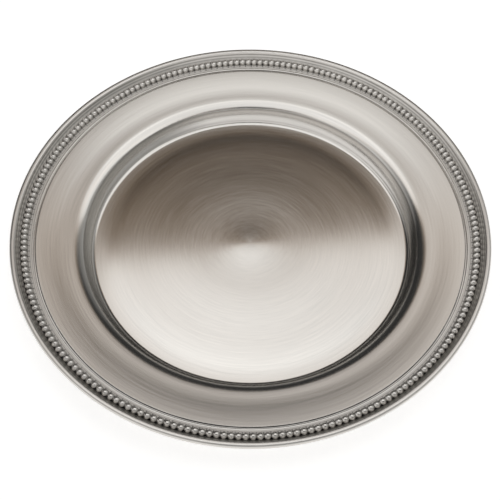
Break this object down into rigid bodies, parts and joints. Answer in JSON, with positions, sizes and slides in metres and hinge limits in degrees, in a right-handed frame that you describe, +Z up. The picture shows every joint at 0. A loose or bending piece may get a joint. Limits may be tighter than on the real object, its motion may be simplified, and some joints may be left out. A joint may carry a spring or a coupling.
{
  "type": "charger plate",
  "caption": "Round antiqued metal charger plate with a flat well, dished flange, beaded border and rolled lip, to set under a dinner plate.",
  "frame": {"origin": "centre of the floor's underside, on the surface that the plate stands on", "axes": "+Z up along the plate's axis; the plate looks the same all round, and -Y is the side nearest the viewer of the picture"},
  "size_m": [0.33, 0.33, 0.0261],
  "materials": {
    "pan_metal": "spun and brushed in circles, silver tone",
    "hoop_metal": "satin silver tone, dark patina in the cove",
    "fillet_metal": "satin silver tone, dark patina along the edges",
    "bead_metal": "polished caps, dark patina between the beads",
    "wire_metal": "plain drawn wire"
  },
  "bodies": {
    "root": {"pan": "pan_metal", "rim_hoop": "hoop_metal", "fillet_band": "fillet_metal", "bead_wire": "bead_metal", "edge_wire": "wire_metal"}
  },
  "joints": []
}
